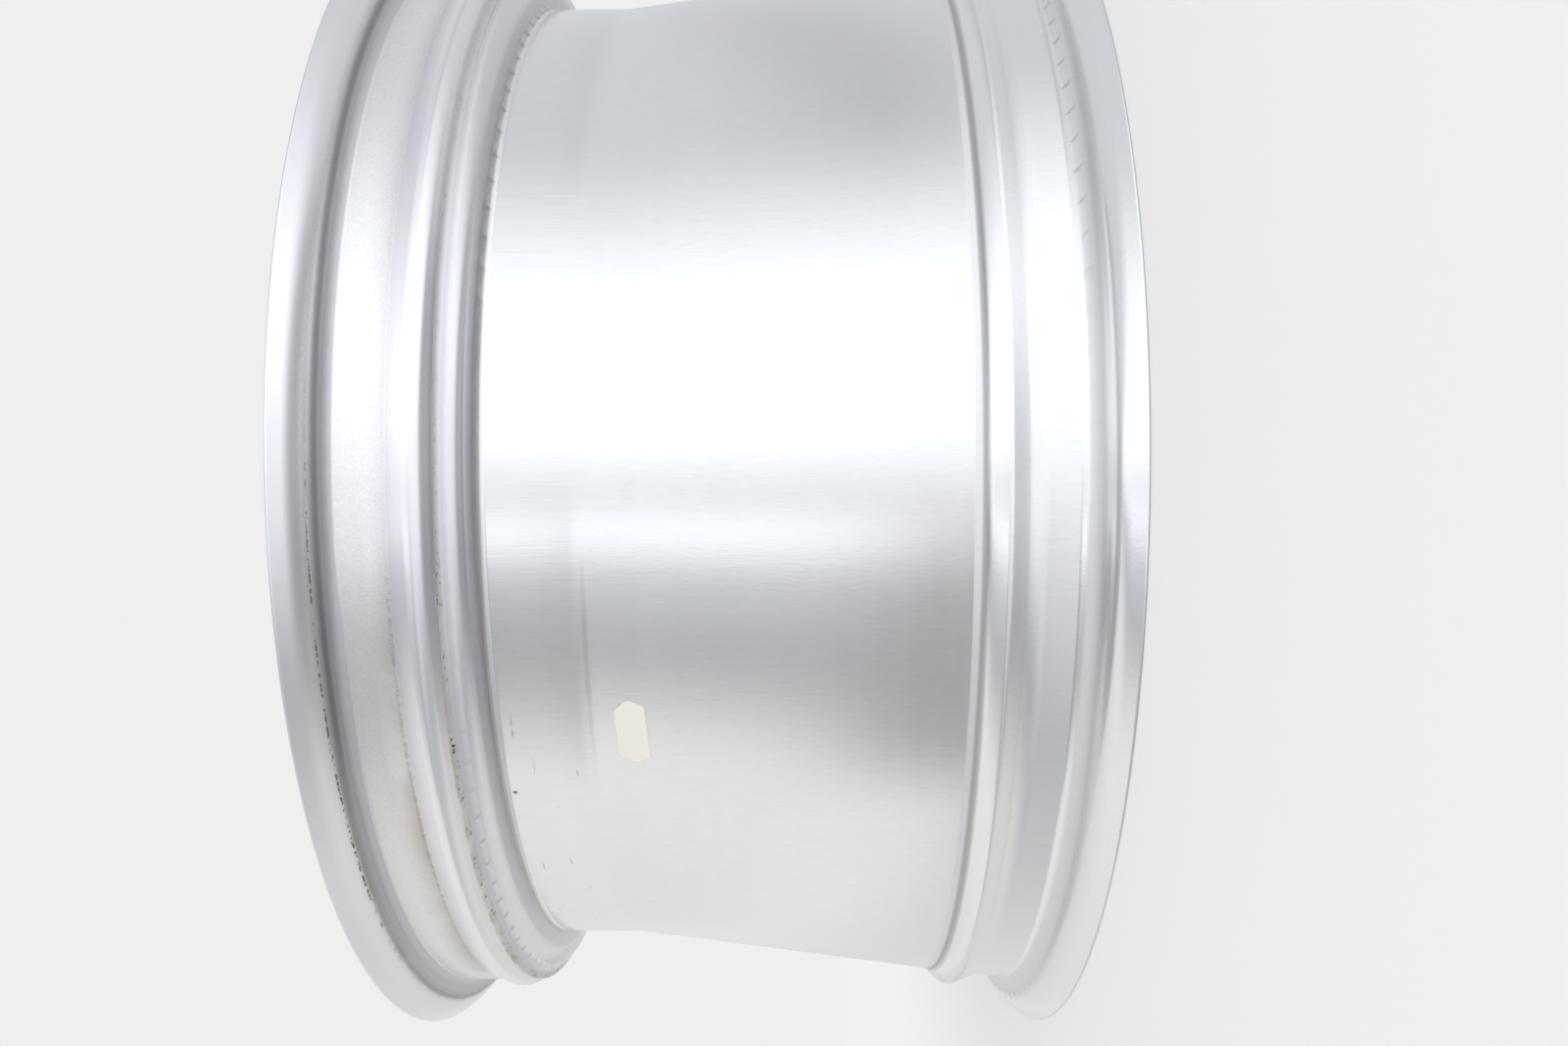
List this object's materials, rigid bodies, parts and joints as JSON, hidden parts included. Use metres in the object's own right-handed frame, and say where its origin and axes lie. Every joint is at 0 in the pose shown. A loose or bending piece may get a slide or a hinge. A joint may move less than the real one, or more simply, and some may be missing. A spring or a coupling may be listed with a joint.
{
  "type": "wheel rim",
  "caption": "One-piece car wheel rim with deep flanges, bead seats and humps, a drop well, a wide tapered barrel, a five-spoke disc and a drilled hub.",
  "frame": {"origin": "on the wheel's axis, half way between the two flanges", "axes": "+Z along the wheel's axis towards the outboard face; the valve hole lies at 108 degrees from +X towards +Y"},
  "size_m": [0.5219, 0.522, 0.2626],
  "materials": {
    "alloy": "machined and clear-coated barrel, satin silver outboard bead seat and flange",
    "paper": "matte ivory paper"
  },
  "bodies": {
    "root": {"wheel_casting": "alloy", "barrel_label": "paper"}
  },
  "joints": []
}
